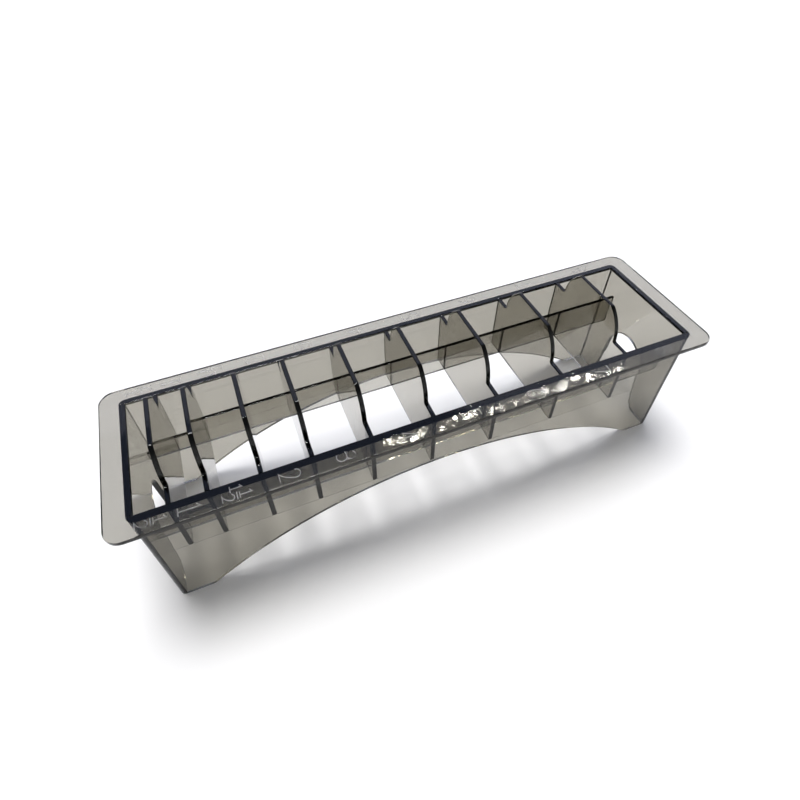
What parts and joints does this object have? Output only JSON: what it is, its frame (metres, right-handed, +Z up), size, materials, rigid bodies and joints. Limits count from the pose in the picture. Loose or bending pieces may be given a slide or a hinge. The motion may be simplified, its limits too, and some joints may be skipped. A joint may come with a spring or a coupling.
{
  "type": "clipper guard comb rack",
  "caption": "Countertop rack with side-by-side numbered slots that widen along its length, each holding one clipper guard comb; flanged rim, rounded dividers, arched legs.",
  "frame": {"origin": "middle of the footprint, on the surface that the four corner feet stand on", "axes": "+X along the length from the narrowest slot to the widest, -Y is the front, +Z up"},
  "size_m": [0.25, 0.068, 0.0776],
  "materials": {
    "smoky_clear_plastic": "smoky grey transparent injection moulding, polished, dark where seen edge on"
  },
  "bodies": {
    "root": {"rim_flange": "smoky_clear_plastic", "front_wall": "smoky_clear_plastic", "rear_wall": "smoky_clear_plastic", "left_end_wall": "smoky_clear_plastic", "right_end_wall": "smoky_clear_plastic", "divider_half_to_1": "smoky_clear_plastic", "divider_1_to_1_and_half": "smoky_clear_plastic", "divider_1_and_half_to_2": "smoky_clear_plastic", "divider_2_to_3": "smoky_clear_plastic", "divider_3_to_4": "smoky_clear_plastic", "divider_4_to_5": "smoky_clear_plastic", "divider_5_to_6": "smoky_clear_plastic", "divider_6_to_7": "smoky_clear_plastic", "divider_7_to_8": "smoky_clear_plastic", "front_rail_slot_half": "smoky_clear_plastic", "rear_rail_slot_half": "smoky_clear_plastic", "front_rail_slot_1": "smoky_clear_plastic", "rear_rail_slot_1": "smoky_clear_plastic", "front_rail_slot_1_and_half": "smoky_clear_plastic", "rear_rail_slot_1_and_half": "smoky_clear_plastic", "front_rail_slot_2": "smoky_clear_plastic", "rear_rail_slot_2": "smoky_clear_plastic", "front_rail_slot_3": "smoky_clear_plastic", "rear_rail_slot_3": "smoky_clear_plastic", "front_rail_slot_4": "smoky_clear_plastic", "rear_rail_slot_4": "smoky_clear_plastic", "front_rail_slot_5": "smoky_clear_plastic", "rear_rail_slot_5": "smoky_clear_plastic", "front_rail_slot_6": "smoky_clear_plastic", "rear_rail_slot_6": "smoky_clear_plastic", "front_rail_slot_7": "smoky_clear_plastic", "rear_rail_slot_7": "smoky_clear_plastic", "front_rail_slot_8": "smoky_clear_plastic", "rear_rail_slot_8": "smoky_clear_plastic", "front_number_half": "smoky_clear_plastic", "rear_number_half": "smoky_clear_plastic", "front_number_1": "smoky_clear_plastic", "rear_number_1": "smoky_clear_plastic", "front_number_1_and_half": "smoky_clear_plastic", "rear_number_1_and_half": "smoky_clear_plastic", "front_number_2": "smoky_clear_plastic", "rear_number_2": "smoky_clear_plastic", "front_number_3": "smoky_clear_plastic", "rear_number_3": "smoky_clear_plastic", "front_number_4": "smoky_clear_plastic", "rear_number_4": "smoky_clear_plastic", "front_number_5": "smoky_clear_plastic", "rear_number_5": "smoky_clear_plastic", "front_number_6": "smoky_clear_plastic", "rear_number_6": "smoky_clear_plastic", "front_number_7": "smoky_clear_plastic", "rear_number_7": "smoky_clear_plastic", "front_number_8": "smoky_clear_plastic", "rear_number_8": "smoky_clear_plastic"}
  },
  "joints": []
}
